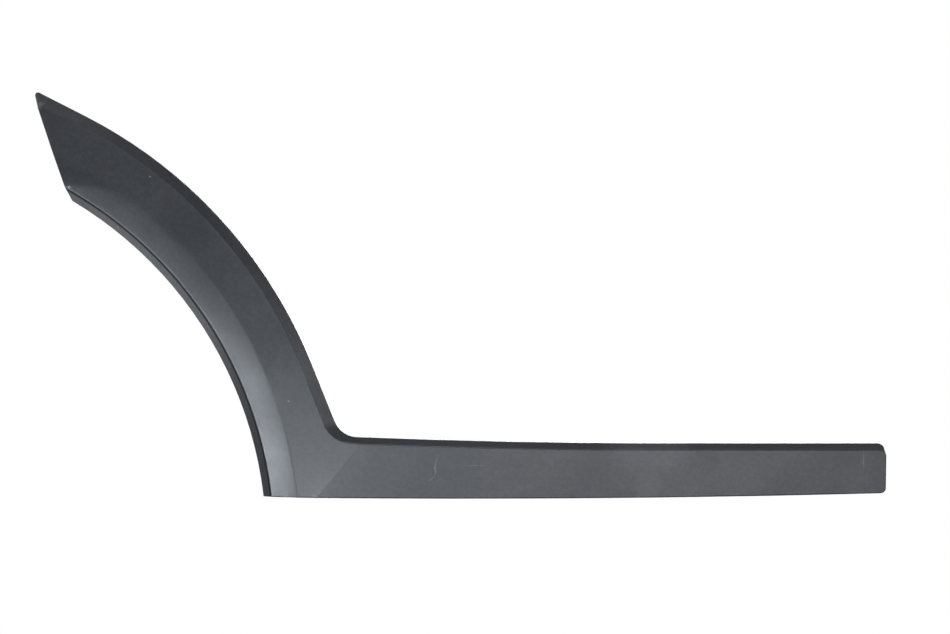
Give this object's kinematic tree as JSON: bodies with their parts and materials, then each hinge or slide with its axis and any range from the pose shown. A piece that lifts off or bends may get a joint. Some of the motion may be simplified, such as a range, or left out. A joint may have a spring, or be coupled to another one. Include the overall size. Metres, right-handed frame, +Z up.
{
  "type": "door moulding",
  "caption": "Wheel-arch and sill moulding for a car's rear door: a curved band that runs into a long bar, hollow at the back, held by push-in clips.",
  "frame": {"origin": "axis of the main locating pin where it passes the door skin", "axes": "+X forward along the sill bar, +Y into the door, +Z up; the show face looks to -Y"},
  "size_m": [0.8498, 0.0401, 0.406],
  "materials": {
    "grained_plastic": "fine moulded grain, satin charcoal",
    "clip_plastic": "smooth natural nylon"
  },
  "bodies": {
    "root": {"door_moulding": "grained_plastic", "retaining_clips": "clip_plastic"}
  },
  "joints": []
}
